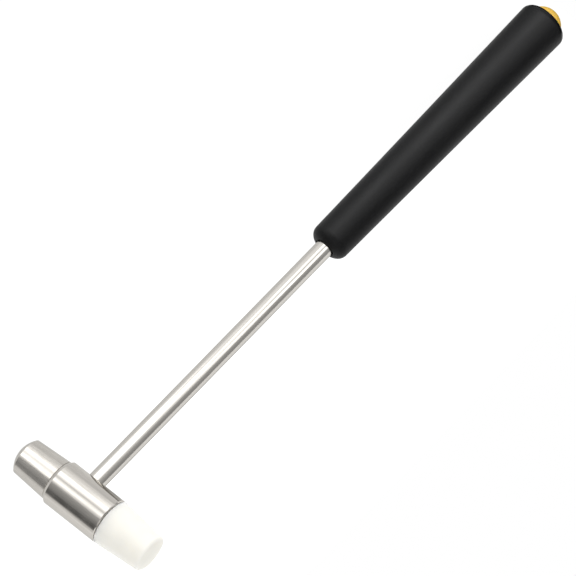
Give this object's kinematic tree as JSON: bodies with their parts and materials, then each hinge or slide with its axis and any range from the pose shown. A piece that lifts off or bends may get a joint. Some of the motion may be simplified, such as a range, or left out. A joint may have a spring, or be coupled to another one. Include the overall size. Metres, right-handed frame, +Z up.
{
  "type": "two-face mallet",
  "caption": "Small hand mallet with a cylindrical steel head, a domed steel striking face, a flat white nylon striking face, a slim steel rod and a flared black grip with a yellow end plug.",
  "frame": {"origin": "on the surface that the mallet lies on, under the middle of its bounding box", "axes": "+X from the head to the butt of the handle, +Y out of the steel face, +Z up; the nylon face points along -Y"},
  "size_m": [0.2322, 0.053, 0.0162],
  "materials": {
    "head_steel": "fine turned, bright satin",
    "rod_steel": "ground and polished along its length",
    "stud_steel": "cut thread, lightly oiled",
    "white_nylon": "turned nylon, satin, slightly translucent",
    "core_plastic": "plain moulded",
    "grip_rubber": "matt, fine lengthwise grain",
    "cap_plastic": "smooth, softly glossy"
  },
  "bodies": {
    "mallet": {"head_barrel": "head_steel", "shaft": "rod_steel", "handle_core": "core_plastic", "grip_sleeve": "grip_rubber", "end_cap": "cap_plastic"},
    "steel_thread": {"steel_face_stud": "stud_steel"},
    "steel_tip": {"steel_face": "head_steel"},
    "nylon_thread": {"nylon_face_stud": "stud_steel"},
    "nylon_tip": {"nylon_face": "white_nylon"}
  },
  "joints": [
    {"name": "steel_face_turn", "type": "hinge", "parent": "mallet", "child": "steel_thread", "pos_m": [-0.10834, 0.01137, 0.0081], "axis": [0, 1, 0], "range_deg": [0, 3240]},
    {"name": "steel_face_travel", "type": "slide", "parent": "steel_thread", "child": "steel_tip", "axis": [0, 1, 0], "range_m": [0, 0.009]},
    {"name": "nylon_face_turn", "type": "hinge", "parent": "mallet", "child": "nylon_thread", "pos_m": [-0.10834, -0.00995, 0.0081], "axis": [0, -1, 0], "range_deg": [0, 3240]},
    {"name": "nylon_face_travel", "type": "slide", "parent": "nylon_thread", "child": "nylon_tip", "axis": [0, -1, 0], "range_m": [0, 0.009]}
  ],
  "couplings": [
    {"joint": "steel_face_travel", "follows": "steel_face_turn", "m_per_rad": 0.000159},
    {"joint": "nylon_face_travel", "follows": "nylon_face_turn", "m_per_rad": 0.000159}
  ]
}
